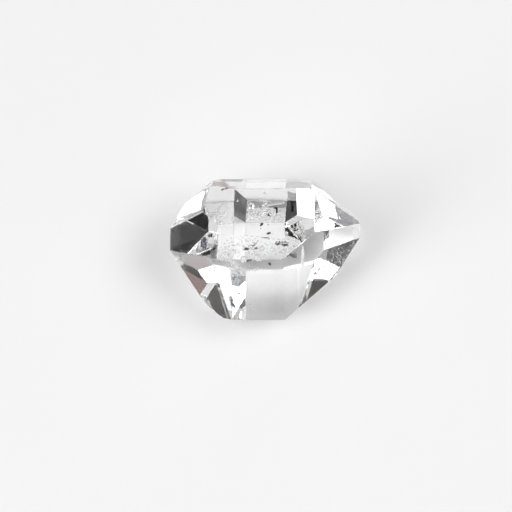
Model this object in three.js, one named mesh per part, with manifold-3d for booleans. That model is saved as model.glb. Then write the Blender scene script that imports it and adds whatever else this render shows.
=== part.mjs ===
// Herkimer diamond: one doubly terminated quartz crystal, lying on a prism face.
// Millimetres, +Z up. The long crystal axis c runs along X and the rest face lies at z = 0.

import * as THREE from "three";
import { mergeVertices } from "three/addons/utils/BufferGeometryUtils.js";
import Module from "manifold-3d";

const wasm = await Module();
wasm.setup();

// --- driving dimensions ---

// Normals of prism faces stand square to the c axis, and those of rhomb faces (c/a = 1.100)
// stand this far from it, in degrees.
const PRISM_POLAR = 90;
const RHOMB_POLAR = 51.787;

// The crystal has six sectors round c. Each has one prism face and one rhomb face at each end.
// The number is the azimuth of the normals: 0 looks up, 90 north (+Y), 180 down, -90 south.
const SECTORS = { top: 0, northUp: 60, northDown: 120, rest: 180, southDown: -120, southUp: -60 };

// Each face lies `distance` mm from the crystal's centre. The faces grew unevenly, so no two agree.
// Growth also leaned some of them off the ideal angles: `turn` adds to the azimuth of the normal
// and `lean` to its angle from c, in degrees.
const face = (distance, turn = 0, lean = 0) => ({ distance, turn, lean });

const PRISM = {
  top: face(8.25),
  northUp: face(9.75, 0.2, -0.1),
  northDown: face(8.22, 0.3, -0.2),
  rest: face(8.25),
  southDown: face(10.1),
  southUp: face(7.93),
};
const EAST = {
  top: face(11.12, 0.15, 0.1),
  northUp: face(11.99, 0.05, 0.3),
  northDown: face(9.4, -0.15, 0.35),
  rest: face(8.22, 0.2, -0.1),
  southDown: face(9.76, -0.15, 0.25),
  southUp: face(8.08, -0.25, -0.4),
};
const WEST = {
  top: face(9.18, 0.3, -0.1),
  northUp: face(12.5),
  northDown: face(10.6, 0.15, 0.1),
  rest: face(8.34, -0.05, -0.2),
  southDown: face(11.9),
  southUp: face(9.25, -0.25, -0.1),
};

// Growth ledges: between the edge that `face` shares with `beside` and a line `inset` further in,
// the face lies lower by `drop`. The riser at that line climbs at `slope` degrees.
const LEDGES = [
  { face: "west.northDown", beside: "west.rest", inset: 0.4, drop: 0.1, slope: 60 },
  { face: "east.southUp", beside: "prism.southUp", inset: 2.9, drop: 0.035, slope: 4 },
  { face: "east.northDown", beside: "prism.northDown", inset: 0.3, drop: 0.04, slope: 50 },
  { face: "west.southDown", beside: "prism.southDown", inset: 0.4, drop: 0.05, slope: 70 },
];

// Conchoidal chips on the edge between two faces, `at` mm from the corner where it meets the third
// face, `from`. `radius` is that of the scar's hollow and `depth` how far it bites in.
const CHIPS = [
  { edge: ["west.top", "west.northDown"], from: "west.rest", at: 0.9, radius: 1.1, depth: 0.24 },
  { edge: ["west.top", "west.northDown"], from: "west.rest", at: 1.9, radius: 0.6, depth: 0.12 },
  { edge: ["west.top", "west.rest"], from: "west.southUp", at: 0.5, radius: 0.5, depth: 0.1 },
  { edge: ["west.top", "west.rest"], from: "west.southUp", at: 2.2, radius: 0.7, depth: 0.08 },
  { edge: ["west.southUp", "west.rest"], from: "west.top", at: 2.4, radius: 0.9, depth: 0.2 },
  { edge: ["west.southUp", "west.rest"], from: "west.southDown", at: 0.4, radius: 0.8, depth: 0.16 },
  { edge: ["west.southUp", "west.southDown"], from: "prism.southDown", at: 0.2, radius: 1.6, depth: 0.1 },
  { edge: ["west.top", "prism.northUp"], from: "west.northUp", at: 0.3, radius: 0.9, depth: 0.16 },
  { edge: ["prism.northUp", "east.northUp"], from: "prism.top", at: 0.5, radius: 0.9, depth: 0.14 },
  { edge: ["east.southUp", "east.rest"], from: "east.southDown", at: 0.3, radius: 0.6, depth: 0.12 },
  { edge: ["east.southUp", "east.rest"], from: "east.southDown", at: 1.0, radius: 0.4, depth: 0.05 },
  { edge: ["east.top", "east.northDown"], from: "east.southUp", at: 0.2, radius: 0.5, depth: 0.05 },
];

const SCAR_DETAIL = 3; // subdivisions of the icosahedron that scoops a chip
const SCAR_UNEVEN = 0.05; // part of its radius by which a scoop's surface wavers

// --- the ideal crystal: every face is a plane, every corner is where three planes meet ---

const planeOf = ({ distance, turn, lean }, azimuth, polar, end) => {
  const a = THREE.MathUtils.degToRad(azimuth + turn);
  const p = THREE.MathUtils.degToRad(polar + lean);
  const normal = new THREE.Vector3(end * Math.cos(p), Math.sin(p) * Math.sin(a), Math.sin(p) * Math.cos(a));
  return { normal, distance };
};

const faces = {};
for (const [sector, azimuth] of Object.entries(SECTORS)) {
  faces[`prism.${sector}`] = planeOf(PRISM[sector], azimuth, PRISM_POLAR, 1);
  faces[`east.${sector}`] = planeOf(EAST[sector], azimuth, RHOMB_POLAR, 1);
  faces[`west.${sector}`] = planeOf(WEST[sector], azimuth, RHOMB_POLAR, -1);
}
const names = Object.keys(faces);
const planes = Object.values(faces);

// The corners of the convex solid that a list of planes bounds, each with the planes it lies on.
function cornersOf(bounds) {
  const corners = [];
  const m = new THREE.Matrix3();
  for (let i = 0; i < bounds.length; i++) {
    for (let j = i + 1; j < bounds.length; j++) {
      for (let k = j + 1; k < bounds.length; k++) {
        const [a, b, c] = [bounds[i], bounds[j], bounds[k]];
        m.set(...a.normal.toArray(), ...b.normal.toArray(), ...c.normal.toArray());
        if (Math.abs(m.determinant()) < 1e-6) continue;
        const point = new THREE.Vector3(a.distance, b.distance, c.distance).applyMatrix3(m.invert());
        if (bounds.every((p) => p.normal.dot(point) <= p.distance + 1e-6)) {
          corners.push({ point, on: [i, j, k] });
        }
      }
    }
  }
  return corners;
}

// The same solid as a closed mesh: each face is a fan round its own corners.
function solidOf(bounds) {
  const corners = cornersOf(bounds);
  const triangles = [];
  bounds.forEach((plane, i) => {
    const own = corners.filter((c) => c.on.includes(i)).map((c) => c.point);
    if (own.length < 3) return;
    const centre = own.reduce((s, p) => s.add(p), new THREE.Vector3()).divideScalar(own.length);
    const u = own[0].clone().sub(centre).normalize();
    const v = plane.normal.clone().cross(u);
    const angle = (p) => Math.atan2(p.clone().sub(centre).dot(v), p.clone().sub(centre).dot(u));
    own.sort((p, q) => angle(p) - angle(q));
    for (let k = 1; k + 1 < own.length; k++) triangles.push(own[0], own[k], own[k + 1]);
  });
  return new THREE.BufferGeometry().setFromPoints(triangles);
}

const corners = cornersOf(planes);

// The two ends of the edge between two faces, each with the other face that it ends on.
function edgeOf(first, second) {
  const pair = [names.indexOf(first), names.indexOf(second)];
  return corners
    .filter((c) => pair.every((i) => c.on.includes(i)))
    .map((c) => ({ point: c.point, ends: names[c.on.find((i) => !pair.includes(i))] }));
}

// --- joining and cutting ---

function toManifold(geometry) {
  const bare = geometry.index ? geometry.toNonIndexed() : geometry.clone();
  bare.deleteAttribute("normal");
  bare.deleteAttribute("uv");
  const merged = mergeVertices(bare, 1e-4);
  return new wasm.Manifold(new wasm.Mesh({
    numProp: 3,
    vertProperties: new Float32Array(merged.attributes.position.array),
    triVerts: new Uint32Array(merged.index.array),
  }));
}

function toGeometry(solid) {
  const mesh = solid.getMesh();
  const geometry = new THREE.BufferGeometry();
  geometry.setAttribute("position", new THREE.BufferAttribute(mesh.vertProperties, 3));
  geometry.setIndex(new THREE.BufferAttribute(mesh.triVerts, 1));
  geometry.computeVertexNormals();
  return geometry;
}

// What a ledge takes away: all that lies above the lowered face and beyond the riser.
function wedgeOf({ face: name, beside, inset, drop, slope }) {
  const lowered = faces[name];
  const [start, end] = edgeOf(name, beside).map((e) => e.point);
  const along = end.clone().sub(start).normalize();
  const inward = lowered.normal.clone().cross(along).normalize();
  if (inward.dot(faces[beside].normal) > 0) inward.negate();
  const s = THREE.MathUtils.degToRad(slope);
  const riser = lowered.normal.clone().multiplyScalar(Math.cos(s)).addScaledVector(inward, -Math.sin(s));
  const foot = start.clone().addScaledVector(inward, inset);
  const margin = 1;
  return solidOf([
    ...planes.map((p) => ({ normal: p.normal, distance: p.distance + margin })),
    { normal: lowered.normal.clone().negate(), distance: drop - lowered.distance },
    { normal: riser.clone().negate(), distance: -riser.dot(foot) },
  ]);
}

// What a chip takes away: a ball whose surface wavers in three crossing waves.
function scoopOf({ edge, from, at, radius, depth }) {
  const [near, far] = edgeOf(...edge).sort((p, q) => (q.ends === from) - (p.ends === from));
  const along = far.point.clone().sub(near.point).normalize();
  const out = faces[edge[0]].normal.clone().add(faces[edge[1]].normal).normalize();
  const centre = near.point.clone().addScaledVector(along, at).addScaledVector(out, radius - depth);
  const ball = new THREE.IcosahedronGeometry(radius, SCAR_DETAIL);
  const place = ball.attributes.position;
  const p = new THREE.Vector3();
  for (let i = 0; i < place.count; i++) {
    p.fromBufferAttribute(place, i);
    const q = p.clone().multiplyScalar(5 / radius);
    const wave = Math.sin(q.x + centre.x) * Math.sin(q.y + centre.y) * Math.sin(q.z + centre.z);
    p.multiplyScalar(1 + SCAR_UNEVEN * wave).add(centre);
    place.setXYZ(i, p.x, p.y, p.z);
  }
  return ball;
}

let crystal = toManifold(solidOf(planes));
for (const ledge of LEDGES) crystal = crystal.subtract(toManifold(wedgeOf(ledge)));
for (const chip of CHIPS) crystal = crystal.subtract(toManifold(scoopOf(chip)));

// --- the part: the crystal stands on its rest face, centred over the origin ---

const geometry = toGeometry(crystal);
geometry.computeBoundingBox();
const { min, max } = geometry.boundingBox;
geometry.translate(-(min.x + max.x) / 2, -(min.y + max.y) / 2, -min.z);

const quartz = new THREE.MeshStandardMaterial({ color: "#eef1f2", roughness: 0.04, metalness: 0 });
quartz.transparent = true;
quartz.opacity = 0.35;

const mesh = new THREE.Mesh(geometry, quartz);
mesh.name = "crystal";

const group = new THREE.Group();
group.add(mesh);

export default group;
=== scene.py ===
# %% [markdown]
# # A Herkimer diamond
# A Herkimer diamond is a clear quartz crystal with a point at both ends. It grew loose in a pocket
# of rock, so nothing broke off it, and every side has flat growth faces.
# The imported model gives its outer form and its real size. This lesson adds what makes it look
# alive: clear quartz, worn edges, growth marks, and the specks, veil and bubbles inside.

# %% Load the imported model
import itertools
import math

import bmesh
import bpy
import numpy as np
from mathutils import Matrix, Vector


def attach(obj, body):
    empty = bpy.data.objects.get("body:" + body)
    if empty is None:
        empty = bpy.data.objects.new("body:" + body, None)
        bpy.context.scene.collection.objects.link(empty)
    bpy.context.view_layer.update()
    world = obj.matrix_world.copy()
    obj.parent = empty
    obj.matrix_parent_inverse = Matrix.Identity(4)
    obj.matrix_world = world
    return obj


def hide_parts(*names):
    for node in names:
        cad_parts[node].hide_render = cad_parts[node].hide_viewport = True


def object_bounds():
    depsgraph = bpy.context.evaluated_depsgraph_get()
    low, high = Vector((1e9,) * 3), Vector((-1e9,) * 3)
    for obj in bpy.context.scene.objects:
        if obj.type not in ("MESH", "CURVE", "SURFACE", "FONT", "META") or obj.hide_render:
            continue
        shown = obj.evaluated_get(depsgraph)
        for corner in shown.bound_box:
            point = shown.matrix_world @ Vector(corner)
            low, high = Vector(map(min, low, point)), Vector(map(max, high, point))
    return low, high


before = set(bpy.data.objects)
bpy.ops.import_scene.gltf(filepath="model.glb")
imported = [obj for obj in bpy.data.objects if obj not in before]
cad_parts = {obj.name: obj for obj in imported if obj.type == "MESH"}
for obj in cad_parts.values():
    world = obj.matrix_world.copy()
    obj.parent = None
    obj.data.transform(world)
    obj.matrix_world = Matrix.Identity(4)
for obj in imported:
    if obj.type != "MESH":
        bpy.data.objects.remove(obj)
cad_box = [list(map(float, corner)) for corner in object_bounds()]
MM = 0.001
print("crystal from", cad_box[0], "to", cad_box[1], "m")

# %% [markdown]
# ## Two helpers for every material
# Colours are chosen as sRGB hex values, as a painter reads them from a colour card, but the
# renderer adds up light, so they're turned to linear values first. `add_node` makes one shader
# node with its settings and links in a single call, so a material reads like a recipe.

# %% Colour and node helpers
def linear(hex_colour):
    """An sRGB hex colour as linear RGBA: ((c + 0.055) / 1.055) ** 2.4, or c / 12.92 when dark."""
    code = hex_colour.lstrip("#")
    c = np.array([int(code[i:i + 2], 16) for i in (0, 2, 4)]) / 255
    c = np.where(c < 0.04045, c / 12.92, ((c + 0.055) / 1.055) ** 2.4)
    return (*map(float, c), 1.0)


def add_node(tree, kind, settings=None, **inputs):
    """Adds a node, sets its properties, and fills each named input with a value or an output."""
    node = tree.nodes.new(kind)
    for name, value in (settings or {}).items():
        setattr(node, name, value)
    for name, value in inputs.items():
        key = int(name[1:]) if name[1:].isdigit() else name.replace("_", " ")
        socket = node.inputs[key]
        if isinstance(value, bpy.types.NodeSocket):
            tree.links.new(value, socket)
        else:
            socket.default_value = value
    return node


def new_material(name):
    """A material with an empty node tree and its output node."""
    material = bpy.data.materials.new(name)
    material.use_nodes = True
    tree = material.node_tree
    tree.nodes.clear()
    return material, tree, tree.nodes.new("ShaderNodeOutputMaterial")


scene = bpy.context.scene
scene.view_settings.view_transform = "Standard"
print("colours stay as chosen:", scene.view_settings.view_transform)

# %% [markdown]
# ## The camera
# A long lens looks down on the crystal, so that its edges stay parallel. The frame's width at the
# crystal, in millimetres, and the camera's distance give the focal length.

# %% Camera
CAMERA_AZIMUTH = 5.98  # degrees east of south
CAMERA_ELEVATION = 71.42
CAMERA_ROLL = -5.88
CAMERA_DISTANCE = 0.98
FRAME_WIDTH = 75.26 * MM
AIM = Vector((-1.08, -3.67, 15.75)) * MM
SENSOR = 36.0


def direction(azimuth, elevation):
    """The unit vector at an azimuth from north (+Y) towards east (+X) and an elevation."""
    a, e = math.radians(azimuth), math.radians(elevation)
    return Vector((math.sin(a) * math.cos(e), math.cos(a) * math.cos(e), math.sin(e)))


def link(name, data):
    """Puts data into the scene as an object."""
    thing = bpy.data.objects.new(name, data)
    scene.collection.objects.link(thing)
    return thing


def mesh_of(name, corners, faces):
    """A mesh from arrays of corners and faces."""
    mesh = bpy.data.meshes.new(name)
    mesh.from_pydata(corners.tolist(), [], faces.tolist())
    return mesh


back = direction(180 - CAMERA_AZIMUTH, CAMERA_ELEVATION)
turn = back.to_track_quat("Z", "Y").to_matrix() @ Matrix.Rotation(math.radians(CAMERA_ROLL), 3, "Z")
lens = bpy.data.cameras.new("camera")
lens.sensor_width = SENSOR
lens.lens = SENSOR * CAMERA_DISTANCE / FRAME_WIDTH
lens.clip_start = 0.05
lens.clip_end = 10
camera = link("camera", lens)
camera.matrix_world = Matrix.LocRotScale(AIM + back * CAMERA_DISTANCE, turn, None)
scene.camera = camera
print("camera axes", [[round(v, 4) for v in camera.matrix_world.col[i][:3]] for i in range(3)])
print("lens", round(lens.lens, 1), "mm")

# %% [markdown]
# ## The floor
# The crystal lies on plain matt paper. Paper scatters light evenly, so it shows only the soft
# shadow and the bright patches that the crystal throws on it.

# %% Paper floor
FLOOR_HALF = 1.5
FLOOR_GAP = 0.02 * MM  # keeps the paper and the rest face from sharing one plane


def paper():
    """Matt white paper: an even white with no shine."""
    material, tree, output = new_material("matt paper")
    shader = add_node(tree, "ShaderNodeBsdfPrincipled", Base_Color=linear("#ececec"), Roughness=1.0,
                      Specular_IOR_Level=0.0)
    tree.links.new(shader.outputs[0], output.inputs["Surface"])
    return material


corners = [(-1, -1), (1, -1), (1, 1), (-1, 1)]
sheet = bpy.data.meshes.new("paper")
sheet.from_pydata([(x * FLOOR_HALF, y * FLOOR_HALF, -FLOOR_GAP) for x, y in corners], [], [(0, 1, 2, 3)])
sheet.materials.append(paper())
link("paper", sheet)
print("paper", 2 * FLOOR_HALF, "m wide")

# %% [markdown]
# ## The studio
# A clear crystal has no colour of its own: each facet shows a piece of the room, bent and mirrored
# inside. So the room is built with care. Two strong soft boxes stand west and east, and dim walls
# and black flags stand between them. A facet that looks at a flag turns dark, and the next one,
# which looks into a box, turns white. That is the crystal's sparkle.
# The camera doesn't see the walls and flags, so they never stand in a picture of the crystal.

# %% Soft boxes
BOX_RADIUS = 1.0
BOXES = [  # name, azimuth, elevation, half width and half height in degrees, radiance
    ("west soft box", -119, 44.8, 13.3, 28.9, 3.8),
    ("east soft box", 88, 52.6, 16.4, 12.7, 4.1),
]


def span(half_angle):
    """The width in metres of something that spans twice an angle at the boxes' radius."""
    return 2 * BOX_RADIUS * math.tan(math.radians(half_angle))


for name, azimuth, elevation, half_width, half_height, radiance in BOXES:
    lamp = bpy.data.lights.new(name, "AREA")
    lamp.shape = "RECTANGLE"
    lamp.size, lamp.size_y = span(half_width), span(half_height)
    lamp.energy = radiance * math.pi * lamp.size * lamp.size_y
    towards = direction(azimuth, elevation)
    turn = towards.to_track_quat("Z", "Y")
    link(name, lamp).matrix_world = Matrix.LocRotScale(towards * BOX_RADIUS, turn, None)
    print(name, round(lamp.size, 2), "x", round(lamp.size_y, 2), "m,", round(lamp.energy, 1), "W")

# %% Walls, flags and a low window
CARD_RADIUS = 1.4
CARD_GAP = 0.03  # metres between one card and the next towards the crystal
CARDS = [  # name, azimuth, elevation, half width, half height, soft edge in degrees, tone, glow
    ("north wall", -4, 24, 64, 35, 20, "#bcbbbb", 1.0),
    ("east wall", 68, 14, 41, 13, 8, "#8a7470", 1.0),
    ("west wall", -89, 34, 32, 26, 5, "#a9aaae", 1.0),
    ("south flag", -178, 26, 61, 25, 13, "#000000", 1.0),
    ("low west flag", -133, 4, 20, 12, 1, "#040404", 1.0),
    ("low back card", -71, 9, 12, 6, 4, "#101010", 1.0),
    ("east flag", 122, 35, 10, 5.5, 8, "#000000", 1.0),
    ("top flag", -20, 79, 25, 8.3, 3.3, "#20160f", 1.0),
    ("low east window", 134, 20, 24, 9, 6.5, "#ffffff", 1.03),
]


def card_material(name, tone, glow, edge_x, edge_y):
    """A self-lit card whose edge fades out: the distance to the nearest side over the edge width."""
    material, tree, output = new_material(name)
    place = add_node(tree, "ShaderNodeUVMap")
    split = add_node(tree, "ShaderNodeSeparateXYZ", Vector=place.outputs[0])
    fades = []
    for axis, edge in ((0, edge_x), (1, edge_y)):
        off = add_node(tree, "ShaderNodeMath", {"operation": "SUBTRACT"}, _0=split.outputs[axis], _1=0.5)
        side = add_node(tree, "ShaderNodeMath", {"operation": "ABSOLUTE"}, _0=off.outputs[0])
        fade = add_node(tree, "ShaderNodeMapRange", Value=side.outputs[0], From_Min=0.5, From_Max=0.5 - edge)
        fades.append(fade.outputs[0])
    both = add_node(tree, "ShaderNodeMath", {"operation": "MULTIPLY"}, _0=fades[0], _1=fades[1])
    light = add_node(tree, "ShaderNodeEmission", Color=linear(tone), Strength=glow)
    clear = add_node(tree, "ShaderNodeBsdfTransparent")
    mix = add_node(tree, "ShaderNodeMixShader", _0=both.outputs[0], _1=clear.outputs[0], _2=light.outputs[0])
    tree.links.new(mix.outputs[0], output.inputs["Surface"])
    return material


def card(name, azimuth, elevation, half_width, half_height, edge, tone, glow, radius):
    """A card bent round the crystal: all its points lie at one radius, at tan(angle) off its centre."""
    u, v = np.meshgrid(np.linspace(-1, 1, 25), np.linspace(-1, 1, 13))
    reach_x, reach_y = half_width + edge / 2, half_height + edge / 2
    x, y = np.tan(np.radians(u * reach_x)), np.tan(np.radians(v * reach_y))
    local = np.stack([x, y, np.ones_like(x)], -1).reshape(-1, 3)
    local /= np.linalg.norm(local, axis=-1, keepdims=True)
    towards = direction(azimuth, elevation)
    axes = np.array(towards.to_track_quat("Z", "Y").to_matrix())
    rows, columns = u.shape
    a = (np.arange(rows - 1)[:, None] * columns + np.arange(columns - 1)).ravel()
    quads = np.stack([a, a + 1, a + columns + 1, a + columns], -1)
    mesh = mesh_of(name, local @ axes.T * radius, quads)
    layer = mesh.uv_layers.new(name="UVMap")
    flat = np.stack([(u + 1) / 2, (v + 1) / 2], -1).reshape(-1, 2)
    layer.data.foreach_set("uv", flat[quads.ravel()].astype(np.float32).ravel())
    mesh.materials.append(card_material(name, tone, glow, edge / reach_x / 2, edge / reach_y / 2))
    thing = link(name, mesh)
    thing.visible_camera = False


for i, (name, *shape) in enumerate(CARDS[:-1]):
    card(name, *shape, CARD_RADIUS - CARD_GAP * i)
card(*CARDS[-1], BOX_RADIUS - CARD_GAP)
print(len(CARDS), "cards")

# %% Sky of the studio
world = bpy.data.worlds.new("studio")
scene.world = world
world.use_nodes = True
tree = world.node_tree
tree.nodes.clear()
place = add_node(tree, "ShaderNodeTexCoord")
height = add_node(tree, "ShaderNodeSeparateXYZ", Vector=place.outputs["Generated"])
tone = add_node(tree, "ShaderNodeMapRange", Value=height.outputs[2], From_Min=0.0, From_Max=1.0, To_Min=0.468,
                To_Max=0.83)
glow = add_node(tree, "ShaderNodeBackground", Color=tone.outputs[0], Strength=1.0)
output = add_node(tree, "ShaderNodeOutputWorld", Surface=glow.outputs[0])

scene.cycles.blur_glossy = 0.0  # keeps the light that passes through the crystal sharp
scene.cycles.max_bounces = 24
scene.cycles.glossy_bounces = 24
scene.cycles.transmission_bounces = 24
scene.cycles.transparent_max_bounces = 24
print("light may bounce", scene.cycles.max_bounces, "times")

# %% [markdown]
# ## Carving the crystal
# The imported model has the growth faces, ledges and larger chips. Here a copy of it is sewn
# together, and the small wear of a real stone is carved into it. The work is done in millimetres
# and brought back to metres at the end, so the fine cuts stay exact.

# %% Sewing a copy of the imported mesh
def sewn_copy(name):
    """A copy of a node's mesh in mm: shared corners joined, and triangles of one plane merged."""
    work = bmesh.new()
    work.from_mesh(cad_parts[name].data)
    bmesh.ops.scale(work, vec=(1 / MM,) * 3, verts=work.verts)
    bmesh.ops.remove_doubles(work, verts=work.verts, dist=0.001)
    bmesh.ops.dissolve_limit(work, angle_limit=math.radians(0.2), verts=work.verts, edges=work.edges)
    return work


work = sewn_copy("crystal")
print("sewn:", len(work.faces), "faces,", round(work.calc_volume(), 1), "mm3")

# %% [markdown]
# ## Finding the growth faces
# Quartz has six sectors round its long axis, each with a prism face and a rhomb face at both
# ends. Every face gets a name from the way it looks, such as "east rest", so that the wear can be
# put on the right edges.

# %% Growth faces and edges
SECTORS = ["top", "north up", "north down", "rest", "south down", "south up"]
SMALLEST_FACE = 1.0  # mm2


def growth_faces(work):
    """The largest face for each name, as a plane (nx, ny, nz, distance) in mm."""
    planes = {}
    for f in sorted(work.faces, key=lambda f: -f.calc_area()):
        if f.calc_area() < SMALLEST_FACE:
            break
        end = "prism" if abs(f.normal.x) < 0.3 else "east" if f.normal.x > 0 else "west"
        sector = round(math.degrees(math.atan2(f.normal.y, f.normal.z)) / 60) % 6
        name = end + " " + SECTORS[sector]
        planes.setdefault(name, np.array([*f.normal, f.normal.dot(f.verts[0].co)]))
    return planes


def straight_edges(planes):
    """The two ends of each edge. A corner is where three planes meet inside all the others."""
    names, rows = list(planes), np.array(list(planes.values()))
    triples = np.array(list(itertools.combinations(range(len(rows)), 3)))
    triples = triples[np.abs(np.linalg.det(rows[triples, :3])) > 1e-6]
    corners = np.linalg.solve(rows[triples, :3], rows[triples, 3:])[..., 0]
    inside = (corners @ rows[:, :3].T <= rows[:, 3] + 1e-5).all(1)
    corners, triples = corners[inside], triples[inside]
    edges = {}
    for i, j in itertools.combinations(range(len(rows)), 2):
        ends = corners[(triples == i).any(1) & (triples == j).any(1)]
        if len(ends) == 2:
            edges[frozenset((names[i], names[j]))] = ends
    return edges


planes = growth_faces(work)
edges = straight_edges(planes)
print(len(planes), "growth faces,", len(edges), "edges")

# %% [markdown]
# ## Worn edges
# An edge of a natural crystal is never perfectly sharp. Two narrow cuts along each edge turn it
# in three steps, and that gives the thin bright lines between the faces.

# %% Worn edges
EDGE_WEAR = (0.02, 0.06)  # mm that the cuts reach in from an edge
rng = np.random.default_rng(7)


def slice_off(work, point, normal):
    """Takes away all that lies beyond a plane and closes the cut."""
    parts = [*work.verts, *work.edges, *work.faces]
    cut = bmesh.ops.bisect_plane(
        work, geom=parts, dist=1e-5, plane_co=point, plane_no=normal, clear_outer=True)
    rim = [e for e in cut["geom_cut"] if isinstance(e, bmesh.types.BMEdge) and e.is_boundary]
    bmesh.ops.holes_fill(work, edges=rim, sides=0)


def wear_edges(work):
    """Cuts each edge at a third and two thirds of its angle. A cut reaches in by depth / sin(angle)."""
    for pair, ends in edges.items():
        first, second = (planes[name][:3] for name in sorted(pair))
        third = math.acos(first @ second) / 3
        depth = rng.uniform(*EDGE_WEAR) * math.sin(third)
        for a, b in ((first, second), (second, first)):
            normal = a * math.sin(2 * third) + b * math.sin(third)
            normal /= np.linalg.norm(normal)
            slice_off(work, ends[0] - normal * depth, normal)
    bmesh.ops.dissolve_degenerate(work, edges=work.edges, dist=0.0002)
    bmesh.ops.triangulate(work, faces=work.faces)


wear_edges(work)
print("worn:", len(work.faces), "faces,", sum(not e.is_manifold for e in work.edges), "open edges")

# %% [markdown]
# ## Finding a place on the crystal
# The next pieces sit on the faces or inside. Two helpers read the growth planes, so a piece needs
# only an x and a y. Another stretches a ball into a pit, a groove, a gas pocket or a grain.

# %% Places and balls
def ceiling(x, y, depth=0.0):
    """Height at which a point has so much quartz over it: the lowest of the planes that face up."""
    rows = np.array([row for row in planes.values() if row[2] > 0.05])
    return float(((rows[:, 3] - depth - rows[:, 0] * x - rows[:, 1] * y) / rows[:, 2]).min())


def room_left(points):
    """The distance in mm from the nearest growth face to the outermost of some points."""
    rows = np.array(list(planes.values()))
    return float((rows[:, 3] - points @ rows[:, :3].T).min())


def axes_of(normal, turn):
    """Three rows: two axes across a normal, turned round it by some degrees, and the normal."""
    normal = np.array(normal, float) / np.linalg.norm(normal)
    side = np.cross((0.0, 1.0, 0.2), normal)
    side /= np.linalg.norm(side)
    other = np.cross(normal, side)
    c, t = math.cos(math.radians(turn)), math.sin(math.radians(turn))
    return np.stack([c * side + t * other, c * other - t * side, normal])


def ball_skin(rings, spokes):
    """A unit ball: a lowest point, rings at the polar angle 180 * i / (rings + 1), and a highest point."""
    polar = np.radians(np.linspace(0, 180, rings + 2)[1:-1, None])
    around = np.linspace(0, 2 * math.pi, spokes, endpoint=False)[None]
    wall = [np.sin(polar) * np.cos(around), np.sin(polar) * np.sin(around), -np.cos(polar + 0 * around)]
    corners = np.concatenate([[(0, 0, -1)], np.stack(wall, -1).reshape(-1, 3), [(0, 0, 1)]])
    i = np.arange(spokes)
    j = (i + 1) % spokes
    low = 1 + np.arange(rings - 1)[:, None] * spokes
    high = low + spokes
    last = 1 + (rings - 1) * spokes
    fans = [np.stack([0 * i, 1 + j, 1 + i], -1), np.stack([last + i, last + j, 0 * i + len(corners) - 1], -1)]
    bands = [np.stack([low + i, low + j, high + j], -1), np.stack([low + i, high + j, high + i], -1)]
    return corners, np.concatenate(fans + [band.reshape(-1, 3) for band in bands])


def joined(shapes, triangles):
    """Many copies of one skin as a single list of corners and triangles."""
    step = np.arange(len(shapes))[:, None, None] * len(shapes[0])
    return np.concatenate(shapes), (triangles[None] + step).reshape(-1, 3)


def blob(unit, half_sizes, axes, centre, uneven):
    """A ball stretched along three axes. Its outline wavers by a sum of cos(k * angle + phase) / k."""
    angle = np.arctan2(unit[:, 1], unit[:, 0])[:, None]
    k = np.arange(2, 6)
    reach = 1 + uneven * (np.cos(angle * k + rng.uniform(0, 2 * math.pi, 4)) / k).sum(-1)
    local = unit * np.array(half_sizes) * np.stack([reach, reach, np.ones_like(reach)], -1)
    return np.array(centre) + local @ axes


# %% [markdown]
# ## Small scars
# Quartz breaks in shells: a knock on an edge takes out a small bowl with rings round the point
# that was hit. The worst knocks are at the tips and along the low edges that touch other stones.
# Each one is cut by a bowl-shaped tool whose surface carries those rings.

# %% Small scars
SCARS = [  # edge, how many, smallest and largest radius of the bowl in mm, depth as part of the radius
    (("west rest", "west south down"), 9, 0.25, 0.8, 0.22),
    (("west rest", "west north down"), 5, 0.2, 0.5, 0.20),
    (("west top", "west rest"), 6, 0.15, 0.45, 0.26),
    (("west top", "west north down"), 7, 0.2, 0.6, 0.20),
    (("west south up", "west rest"), 6, 0.2, 0.6, 0.24),
    (("west south up", "west south down"), 5, 0.2, 0.6, 0.17),
    (("west top", "west north up"), 3, 0.15, 0.35, 0.17),
    (("east rest", "east south down"), 12, 0.25, 0.7, 0.22),
    (("east south up", "east south down"), 8, 0.15, 0.4, 0.20),
    (("east south up", "east rest"), 7, 0.2, 0.5, 0.22),
    (("east top", "east north down"), 6, 0.15, 0.4, 0.17),
    (("east rest", "east north down"), 5, 0.15, 0.45, 0.20),
    (("prism rest", "prism south down"), 5, 0.15, 0.35, 0.17),
    (("prism rest", "prism north down"), 4, 0.15, 0.35, 0.17),
    (("prism rest", "west rest"), 4, 0.15, 0.35, 0.20),
    (("prism rest", "east rest"), 4, 0.15, 0.35, 0.20),
    (("prism top", "prism south up"), 2, 0.12, 0.25, 0.17),
    (("prism top", "west top"), 3, 0.12, 0.25, 0.17),
    (("prism top", "east top"), 2, 0.12, 0.25, 0.17),
]
RING_SPACING = 0.22  # mm between the rings of a scar
RING_HEIGHT = 0.003
SLIVER = 0.001  # mm: points of the cut body that lie closer than this are joined


def scar_bowls(unit):
    """Bowls set along the edges. Rings: a cosine of the distance in the bowl from the point of the knock."""
    bowls, places = [], []
    for pair, count, smallest, largest, bite in SCARS:
        start, end = edges[frozenset(pair)]
        out = sum(planes[name][:3] for name in pair)
        out /= np.linalg.norm(out)
        along = (end - start) / np.linalg.norm(end - start)
        for slot in range(count):
            radius = smallest + (largest - smallest) * rng.random() ** 2
            knock = start + (end - start) * (slot + rng.uniform(0.1, 0.9)) / count
            centre = knock + out * radius * (1 - bite)
            if any(np.linalg.norm(centre - c) < 1.05 * (radius + r) for c, r in places):
                continue
            places.append((centre, radius))
            away = np.arccos(np.clip(unit @ (rng.uniform(-0.5, 0.5), 0.6, -0.7), -1, 1)) * radius
            waver = 0.03 * np.sin(unit @ rng.normal(size=3) * 3)
            height = radius * (1 + waver) + RING_HEIGHT * np.cos(2 * math.pi * away / RING_SPACING)
            axes = np.stack([along, np.cross(out, along), out])
            bowls.append(centre + unit * height[:, None] @ axes)
    return bowls


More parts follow.
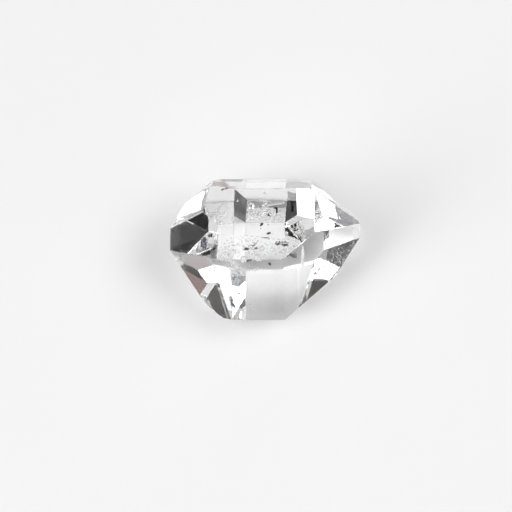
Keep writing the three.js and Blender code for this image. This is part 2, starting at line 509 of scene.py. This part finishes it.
def cut_away(work, cutter):
    """The body less the cutter, by Blender's exact Boolean."""
    body = bpy.data.meshes.new("body")
    work.to_mesh(body)
    host, tool = link("body", body), link("cutter", cutter)
    cut = host.modifiers.new("cut", "BOOLEAN")
    cut.operation, cut.solver, cut.object = "DIFFERENCE", "EXACT", tool
    result = bpy.data.meshes.new_from_object(host.evaluated_get(bpy.context.evaluated_depsgraph_get()))
    for thing in (host, tool):
        bpy.data.objects.remove(thing)
    carved = bmesh.new()
    carved.from_mesh(result)
    bmesh.ops.dissolve_degenerate(carved, edges=carved.edges, dist=SLIVER)
    bmesh.ops.triangulate(carved, faces=carved.faces)
    for mesh in (body, cutter, result):
        bpy.data.meshes.remove(mesh)
    return carved


# %% [markdown]
# ## Pits and ribs
# A face carries marks too. A knock leaves a small round pit, and uneven growth leaves low ribs.
# Both are shallow hollows, so they're cut together with the scars in one Boolean: one large cut is
# more reliable than many small ones.

# %% Pits and ribs
PITS = [  # x, y and radius in mm of a small knock on a face
    (-2.1, -8.9, 0.2), (-1.6, -9.25, 0.24), (-1.0, -9.4, 0.26), (-1.3, -8.6, 0.16), (0.1, -8.7, 0.2),
    (-3.8, 4.7, 0.2), (0.15, 5.8, 0.26), (2.4, -7.4, 0.15)]
PIT_BITE = 0.3
RIBS = [  # first x and y, last x and y, how many, half length, half width and depth in mm
    (9.3, -0.1, 12.2, 0.8, 7, 0.7, 0.07, 0.012),
    (3.4, -4.75, 4.9, -3.9, 4, 0.5, 0.07, 0.012),
]


def face_under(x, y):
    """The normal of the growth face over a point: the plane that lies lowest there."""
    rows = np.array([row for row in planes.values() if row[2] > 0.05])
    heights = (rows[:, 3] - rows[:, 0] * x - rows[:, 1] * y) / rows[:, 2]
    return rows[heights.argmin(), :3]


def marks(unit):
    """Pits are balls that bite in by a part of their radius. Ribs are long shallow grooves down the slope."""
    shapes = []
    for x, y, radius in PITS:
        normal = face_under(x, y)
        centre = np.array((x, y, ceiling(x, y))) + normal * radius * (1 - PIT_BITE)
        shapes.append(blob(unit, (radius,) * 3, axes_of(normal, 0), centre, 0.12))
    for x0, y0, x1, y1, count, half_length, half_width, depth in RIBS:
        for part in np.linspace(0, 1, count):
            x, y = x0 + (x1 - x0) * part, y0 + (y1 - y0) * part + rng.uniform(-0.15, 0.15)
            normal = face_under(x, y)
            half = half_length * rng.uniform(0.6, 1.1)
            axes = axes_of(normal, rng.uniform(86, 94))
            shapes.append(blob(unit, (half, half_width, depth), axes, (x, y, ceiling(x, y)), 0.05))
    return shapes


# %% Cutting scars, pits and ribs
def planes_of(work):
    """The plane (nx, ny, nz, distance) of every face."""
    return np.array([[*f.normal, f.normal.dot(f.verts[0].co)] for f in work.faces])


cutter, cutter_triangles = ball_skin(29, 24)
body_planes = np.unique(planes_of(work).round(4), axis=0)
cuts = scar_bowls(cutter) + marks(cutter)
whole = work.calc_volume()
work = cut_away(work, mesh_of("cuts", *joined(cuts, cutter_triangles)))
open_edges = sum(not e.is_manifold for e in work.edges)
print("scars and marks:", len(cuts), "cut,", len(work.faces), "faces,", open_edges, "open edges,", end=" ")
print(round(whole - work.calc_volume(), 2), "mm3 less")

# %% [markdown]
# ## The veil
# Herkimer diamonds often hold a veil: a crack that healed while the crystal grew. It left a sheet of
# flat gas pockets, some round and some drawn out along the sheet's rim. Gas has a lower refractive
# index than quartz, so the rims of the pockets mirror the room and look like fine dark rings.
# A pocket is a hollow in the quartz, so its skin is joined to the quartz mesh and faces inwards. That
# is truer than a grey picture of a veil, because it changes as one walks round the crystal.

# %% Veil of gas pockets
VEIL_OUTLINE = np.array([  # x and y in mm, round the veil
    (-7.4, -3.8), (-6.4, -2.2), (-4.9, -0.9), (-3.0, -0.6), (-0.4, -0.8), (0.4, -1.2), (2.6, -1.2),
    (5.5, -1.4), (5.6, -2.4), (4.4, -3.6), (0.4, -3.5), (-0.1, -5.3),
    (-4.5, -5.4), (-6.9, -4.7)])
VEIL_RIM = VEIL_OUTLINE[:8]
VEIL_DEPTH = 0.32  # mm of quartz that lie over the veil at least
VEIL_TRIES = 2400
POCKET_REACH = (0.09, 0.95)  # smallest and largest half width in mm
POCKET_SKIN = 0.08  # mm of quartz that stays between a pocket and the faces
BUBBLES = [  # x, y, half width and flatness of the large round pockets
    (-0.2, -2.6, 0.45, 0.6), (-2.9, -4.2, 0.5, 0.5), (-4.25, -4.4, 0.35, 0.9), (-1.9, -2.4, 0.38, 0.5),
    (-5.6, -3.0, 0.3, 0.6), (4.6, -2.2, 0.3, 0.6)]


def veil_height(x, y):
    """The veil lies level, waves a little, dips towards the west point, and bends down under the faces."""
    dip = 0.42 * np.logaddexp(0, 2 * (-3.4 - x)) / 2
    level = 15.9 - dip + 0.06 * np.sin(1.3 * x + 0.5) * np.cos(1.7 * y)
    return min(level, ceiling(x, y, VEIL_DEPTH))


def veil_normal(x, y):
    """The direction square to the veil: its height less a step to the east and to the north."""
    h, step = veil_height(x, y), 0.01
    slope_x, slope_y = (veil_height(x + step, y) - h) / step, (veil_height(x, y + step) - h) / step
    return np.array([-slope_x, -slope_y, 1.0])


def inside_outline(x, y):
    """Even-odd rule: a ray to the east crosses the outline an odd number of times."""
    a, b = VEIL_OUTLINE, np.roll(VEIL_OUTLINE, -1, 0)
    crosses = (a[:, 1] > y) != (b[:, 1] > y)
    at = a[:, 0] + (y - a[:, 1]) / np.where(crosses, b[:, 1] - a[:, 1], 1) * (b[:, 0] - a[:, 0])
    return (crosses & (x < at)).sum() % 2 == 1


def veil_pockets(unit):
    """Pockets in the veil: the bubbles, drawn-out ones along the rim, then smaller ones thrown at random."""
    shapes, places = [], []

    def add(x, y, half_sizes, turn, tilt, uneven):
        reach = max(half_sizes[:2]) * 1.25
        if any(math.hypot(x - px, y - py) < reach + r for px, py, r in places):
            return
        normal = veil_normal(x, y) + rng.normal(0, tilt, 3)
        shape = blob(unit, half_sizes, axes_of(normal, turn), (x, y, veil_height(x, y)), uneven)
        if room_left(shape) > POCKET_SKIN:
            shapes.append(shape)
            places.append((x, y, reach))

    for x, y, half, flat in BUBBLES:
        add(x, y, (half, half * 0.9, half * flat), rng.uniform(0, 180), 0.08, 0.05)
    for start, end in zip(VEIL_RIM, VEIL_RIM[1:]):
        length = np.linalg.norm(end - start)
        count = round(length / 0.75)
        heading = math.degrees(math.atan2(*(end - start)[::-1]))
        for slot in range(count):
            x, y = start + (end - start) * (slot + 0.5) / count
            add(x, y, (0.3 * length / count, 0.07, 0.06), heading + rng.uniform(-8, 8), 0.1, 0.1)
    low, high = VEIL_OUTLINE.min(0), VEIL_OUTLINE.max(0)
    for _ in range(VEIL_TRIES):
        x, y = rng.uniform(low, high)
        half = POCKET_REACH[0] + (POCKET_REACH[1] - POCKET_REACH[0]) * rng.random() ** 1.6
        if inside_outline(x, y):
            thick = min(half, 0.3) * rng.uniform(0.5, 1.1)
            add(x, y, (half, half * rng.uniform(0.35, 1), thick), rng.uniform(0, 180), 0.2, 0.45)
    return shapes


pocket, pocket_triangles = ball_skin(9, 24)
veil = veil_pockets(pocket)
print("veil:", len(veil), "pockets")

# %% [markdown]
# ## Gas films
# A crack that didn't heal is a film of gas. Seen at a slant it mirrors like a sheet of metal: that
# gives the pale strip under the east shoulder and the thin streaks near the back of the top face.

# %% Films
FILMS = [  # centre x and y, depth under the skin, half length, half width, heading, lean in degrees
    (5.62, -3.0, 0.36, 1.95, 0.42, 90, 58),
    (1.5, 4.15, 0.5, 1.75, 0.14, 10, 52),
    (0.2, 4.75, 0.4, 0.9, 0.1, -8, 48),
    (3.2, -1.9, 0.4, 0.8, 0.14, 4, 50),
]
FILM_THICKNESS = 0.03


def film(unit, x, y, depth, half_length, half_width, heading, lean):
    """A flat drawn-out pocket that leans by some degrees round its long axis, and follows the skin."""
    h = math.radians(heading)
    step = 0.2
    rise = (ceiling(x + step * math.cos(h), y + step * math.sin(h)) - ceiling(x, y)) / step
    along = np.array([math.cos(h), math.sin(h), rise])
    along /= np.linalg.norm(along)
    across = np.cross((0, 0, 1), along)
    across /= np.linalg.norm(across)
    up = np.cross(along, across)
    t = math.radians(lean)
    axes = np.stack([along, math.cos(t) * across + math.sin(t) * up, math.cos(t) * up - math.sin(t) * across])
    return blob(unit, (half_length, half_width, FILM_THICKNESS), axes, (x, y, ceiling(x, y, depth)), 0.12)


PLATES = [  # first x and y, last x and y, how many: small slanted films where the veil is torn
    (-6.6, -3.4, -4.9, -3.0, 4), (-5.6, -2.4, -3.2, -1.5, 5), (-3.6, -2.4, -0.8, -2.7, 5)]

PLATE_DEPTH = 0.45  # mm under the skin


def plates(unit):
    """Small films strewn along lines, each with its own heading and lean."""
    for x0, y0, x1, y1, count in PLATES:
        for part in np.linspace(0, 1, count):
            x, y = x0 + (x1 - x0) * part, y0 + (y1 - y0) * part + rng.uniform(-0.3, 0.3)
            half = rng.uniform(0.15, 0.32)
            yield film(unit, x, y, PLATE_DEPTH, half, half * 0.5, rng.uniform(-40, 40), rng.uniform(42, 60))


films = [film(pocket, *row) for row in FILMS] + list(plates(pocket))
films = [shape for shape in films if room_left(shape) > POCKET_SKIN / 2]
print("films and plates:", len(films))

hollows = mesh_of("hollows", *joined(veil + films, pocket_triangles[:, ::-1]))
work.from_mesh(hollows)
bpy.data.meshes.remove(hollows)
print("quartz with its hollows:", len(work.faces), "faces")

# %% [markdown]
# ## Quartz
# Rock crystal is fused of nothing but silica and grew from hot water, so it's as clear as glass:
# IOR 1.548, and a trace of haze that dims the light by a few percent. Its growth faces mirror
# like polished glass, but not perfectly. Fine steps run round the prism, low hillocks stand on the
# point faces, and near the tips the faces are etched. They are far too low to see as shapes, so a
# bump of a few thousandths of a millimetre bends the light instead.

# %% Quartz
QUARTZ_IOR = 1.548
SMOOTH_ANGLE = 25  # degrees: below this, two small faces belong to one curved scar
SAME_TURN = math.cos(math.radians(0.8))  # two faces turned by less than this share one direction
SAME_PLACE = 0.004  # mm


def is_curved(work):
    """True for each face that lies in none of the worn body's planes, so that it belongs to a hollow."""
    rows = planes_of(work)
    same_turn = rows[:, :3] @ body_planes[:, :3].T > SAME_TURN
    same_place = np.abs(rows[:, 3:] - body_planes[:, 3]) < SAME_PLACE
    return ~(same_turn & same_place).any(1)


def finished(work, name, material):
    """Brings the work back to metres as an object. Growth faces stay flat, and hollows are smooth."""
    for f, curved in zip(work.faces, is_curved(work)):
        f.smooth = bool(curved)
    for e in work.edges:
        e.smooth = len(e.link_faces) == 2 and e.calc_face_angle(0) < math.radians(SMOOTH_ANGLE)
    bmesh.ops.scale(work, vec=(MM,) * 3, verts=work.verts)
    mesh = bpy.data.meshes.new(name)
    work.to_mesh(mesh)
    mesh.materials.append(material)
    return link(name, mesh)


def size_scale(size):
    """The scale that makes a noise texture's features some millimetres wide."""
    return 1 / (size * MM)


def bumped(tree, height, amount, under=None):
    """One layer of relief, `amount` mm high, on top of the layer under it."""
    inputs = {"Normal": under} if under else {}
    bump = add_node(tree, "ShaderNodeBump", Height=height, Strength=1.0, Distance=amount * MM, **inputs)
    return bump.outputs[0]


def clear_quartz():
    """Rock crystal: clear, with growth steps, hillocks, and etching near both tips."""
    material, tree, output = new_material("clear quartz")
    place = add_node(tree, "ShaderNodeTexCoord").outputs["Object"]
    squeezed = add_node(tree, "ShaderNodeMapping", Vector=place, Scale=(1, 0.12, 0.12)).outputs[0]
    steps = add_node(tree, "ShaderNodeTexNoise", Vector=squeezed, Scale=size_scale(0.5),
                     Detail=2.0).outputs[0]
    hills = add_node(tree, "ShaderNodeTexNoise", Vector=place, Scale=size_scale(2.2), Detail=1.0).outputs[0]
    fine = add_node(tree, "ShaderNodeTexNoise", Vector=place, Scale=size_scale(0.3), Detail=2.0).outputs[0]
    etch = add_node(tree, "ShaderNodeMapRange", Value=fine, From_Min=0.56, From_Max=0.72).outputs[0]
    split = add_node(tree, "ShaderNodeSeparateXYZ", Vector=place)
    far = add_node(tree, "ShaderNodeMath", {"operation": "ABSOLUTE"}, _0=split.outputs[0]).outputs[0]
    patch = add_node(tree, "ShaderNodeTexNoise", Vector=place, Scale=size_scale(3.0), Detail=1.0).outputs[0]
    spread = add_node(tree, "ShaderNodeMath", {"operation": "MULTIPLY_ADD"}, _0=patch, _1=8 * MM,
                      _2=far).outputs[0]
    near_tip = add_node(tree, "ShaderNodeMapRange", Value=spread, From_Min=14.5 * MM,
                        From_Max=17 * MM).outputs[0]
    etched = add_node(tree, "ShaderNodeMath", {"operation": "MULTIPLY"}, _0=etch, _1=near_tip).outputs[0]
    relief = bumped(tree, hills, 0.006)
    relief = bumped(tree, steps, 0.0012, relief)
    relief = bumped(tree, etched, 0.006, relief)
    shader = add_node(tree, "ShaderNodeBsdfPrincipled", Base_Color=(0.95, 0.951, 0.952, 1), Roughness=0.0,
                      IOR=QUARTZ_IOR, Transmission_Weight=1.0, Normal=relief)
    haze = add_node(tree, "ShaderNodeVolumeAbsorption", Color=(0.5, 0.5, 0.5, 1.0), Density=2.0)
    tree.links.new(shader.outputs[0], output.inputs["Surface"])
    tree.links.new(haze.outputs[0], output.inputs["Volume"])
    return material


crystal = finished(work, "quartz_crystal", clear_quartz())
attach(crystal, "root")
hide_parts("crystal")
print("quartz crystal:", len(crystal.data.polygons), "faces")

# %% [markdown]
# ## Mineral grains, and white flecks that are painted highlights
# The pocket also left dirt in the crystal: black anthraxolite (an old, hard tar), brown iron stain
# and olive clay. White flecks at and round the knock pits are painted highlights: white grains that
# stand in for glints of the soft box. All are real grains, small and angular. Those under the top face
# lie 4 mm down, because a grain right under a face shows again as a mirror image in the facets beside
# it. Many small ones thrown along a short line make a smudge with the ragged outline of a real one.

# %% Grain materials
def grain_material(name, low, high, size, roughness):
    """Dull mineral, or white grains that are painted highlights: two tones mixed by a noise of the grain's
    own size.
    """
    material, tree, output = new_material(name)
    place = add_node(tree, "ShaderNodeTexCoord").outputs["Object"]
    noise = add_node(tree, "ShaderNodeTexNoise", Vector=place, Scale=size_scale(size), Detail=2.0).outputs[0]
    tone = add_node(tree, "ShaderNodeMix", {"data_type": "RGBA"}, _0=noise, _6=linear(low), _7=linear(high))
    shader = add_node(tree, "ShaderNodeBsdfPrincipled", Base_Color=tone.outputs[2], Roughness=roughness)
    tree.links.new(shader.outputs[0], output.inputs["Surface"])
    return material


# %% Grains
GRAIN = {  # piece: dark tone, light tone, roughness
    "anthraxolite_grains": ("#050505", "#1c1b1a", 0.35),
    "iron_stain": ("#3a1d12", "#94613c", 0.8),
    "olive_clay": ("#1a1814", "#423e33", 0.9),
    "blue_grey_clay": ("#4a5468", "#9aa4b8", 0.9),
    # painted highlights: white grains put at the knock pits where glints of the soft box show
    "dolomite_flecks": ("#dcdad2", "#ffffff", 0.7),
}
GRAIN_SKIN = 0.02  # mm of quartz that stays between a grain and the faces
SHOWN_DEPTH = 0.3  # mm: the x and y below are those of a grain at this depth
DEEP = 4.0  # mm: a grain as deep as this moves along the line of sight, so it shows at the same place
SMUDGES = [  # piece, start x and y, end x and y, half width, depth, number of grains, largest half size in mm
    ("anthraxolite_grains", -0.4, 0.85, -0.2, 1.2, 0.08, DEEP, 14, 0.24),
    ("anthraxolite_grains", 0.55, 1.0, 0.7, 1.0, 0.03, DEEP, 4, 0.13),
    ("anthraxolite_grains", -0.4, 0.45, -0.34, 0.38, 0.03, DEEP, 4, 0.11),
    ("anthraxolite_grains", 0.7, -0.36, 1.1, -0.24, 0.08, DEEP, 14, 0.24),
    ("anthraxolite_grains", 0.36, -0.4, 0.46, -0.42, 0.03, DEEP, 4, 0.1),
    ("anthraxolite_grains", 1.32, -0.4, 1.44, -0.42, 0.03, DEEP, 4, 0.1),
    ("anthraxolite_grains", -1.2, -2.65, -0.85, -2.6, 0.1, DEEP, 12, 0.26),
    ("anthraxolite_grains", 0.8, -4.66, 1.0, -4.72, 0.08, 0.25, 12, 0.24),
    ("anthraxolite_grains", 0.1, -6.15, 0.35, -6.5, 0.03, 0.3, 4, 0.09),
    ("anthraxolite_grains", -8.8, -2.5, -7.9, -2.3, 0.24, 0.3, 40, 0.24),
    ("anthraxolite_grains", -7.9, -2.3, -7.0, -1.75, 0.07, 0.3, 22, 0.17),
    ("iron_stain", -8.6, -2.5, -8.0, -2.35, 0.1, 0.15, 7, 0.1),
    ("iron_stain", -9.1, -2.6, -8.9, -2.5, 0.08, 0.25, 8, 0.13),
    ("iron_stain", -7.2, -1.9, -6.85, -1.68, 0.05, 0.25, 7, 0.11),
    ("iron_stain", -6.2, 6.95, -4.0, 7.3, 0.08, 0.25, 60, 0.17),
    ("olive_clay", -2.8, -2.8, -1.8, -2.5, 0.14, DEEP, 70, 0.2),
    ("olive_clay", -1.8, -2.45, -0.95, -1.85, 0.09, DEEP, 26, 0.15),
    ("anthraxolite_grains", 2.0, -2.0, 3.4, -1.85, 0.16, DEEP, 50, 0.18),
    ("olive_clay", 1.9, -1.9, 3.5, -1.75, 0.24, DEEP, 46, 0.2),
    ("olive_clay", -0.2, -0.95, 0.9, -1.1, 0.1, DEEP, 26, 0.14),
    ("blue_grey_clay", -4.7, -6.3, -3.7, -5.6, 0.45, 0.3, 60, 0.13),
    ("blue_grey_clay", -3.9, -7.4, -3.5, -7.7, 0.12, 0.3, 20, 0.14),
    ("blue_grey_clay", -5.05, -7.8, -4.5, -9.1, 0.22, 0.25, 100, 0.19),
    ("blue_grey_clay", 10.9, 3.6, 13.0, 2.2, 0.22, 0.3, 44, 0.11),
    # white flecks: painted highlights set at and round the knock pits, in place of glints of the soft box
    ("dolomite_flecks", 0.05, 5.75, 0.2, 5.85, 0.04, 0.3, 4, 0.12),
    ("dolomite_flecks", -3.9, 4.65, -3.7, 4.75, 0.04, 0.3, 4, 0.12),
    ("dolomite_flecks", -2.1, -8.9, -1.0, -9.4, 0.18, 0.15, 9, 0.15),
    ("dolomite_flecks", -2.6, -9.5, 2.6, -7.2, 0.35, 0.2, 40, 0.09),
    ("anthraxolite_grains", -1.6, -6.6, 2.4, -9.0, 0.9, 0.2, 12, 0.06),
]


def bent_sight(normal):
    """Snell's law: the way a look from the camera runs on behind a face. Its part across the face
    shrinks by the IOR."""
    sight, normal = -np.array(back), np.array(normal, float)
    across = (sight - (sight @ normal) * normal) / QUARTZ_IOR
    return across - math.sqrt(1 - across @ across) * normal


def grains(unit, x0, y0, x1, y1, half_width, depth, count, largest):
    """Angular grains along a line. Each is a ball of few points with every point pushed in or out."""
    shapes = []
    sight = bent_sight(planes["prism top"][:3])
    shift = sight[:2] / -sight[2] * (depth - SHOWN_DEPTH)
    for _ in range(count):
        along, off = rng.random(), rng.uniform(-half_width, half_width, 2)
        x, y = (x0, y0) + np.array((x1 - x0, y1 - y0)) * along + off + shift
        half = largest * (0.35 + 0.65 * rng.random() ** 2)
        rough = unit * rng.uniform(0.75, 1.15, (len(unit), 1))
        sizes = (half, half * rng.uniform(0.5, 1), half * 0.4)
        centre = (x, y, ceiling(x, y, depth + rng.uniform(0, 0.1)))
        axes = axes_of((0, 0, 1) + rng.normal(0, 0.3, 3), rng.uniform(0, 180))
        shape = blob(rough, sizes, axes, centre, 0.2)
        if room_left(shape) > GRAIN_SKIN:
            shapes.append(shape)
    return shapes


grain, grain_triangles = ball_skin(3, 7)
for name, (low, high, roughness) in GRAIN.items():
    shapes = [shape for row in SMUDGES if row[0] == name for shape in grains(grain, *row[1:])]
    corners, triangles = joined(shapes, grain_triangles)
    mesh = mesh_of(name, corners * MM, triangles)
    mesh.materials.append(grain_material(name.replace("_", " "), low, high, 0.15, roughness))
    piece = link(name, mesh)
    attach(piece, "root")
    print(name.replace("_", " "), len(shapes))
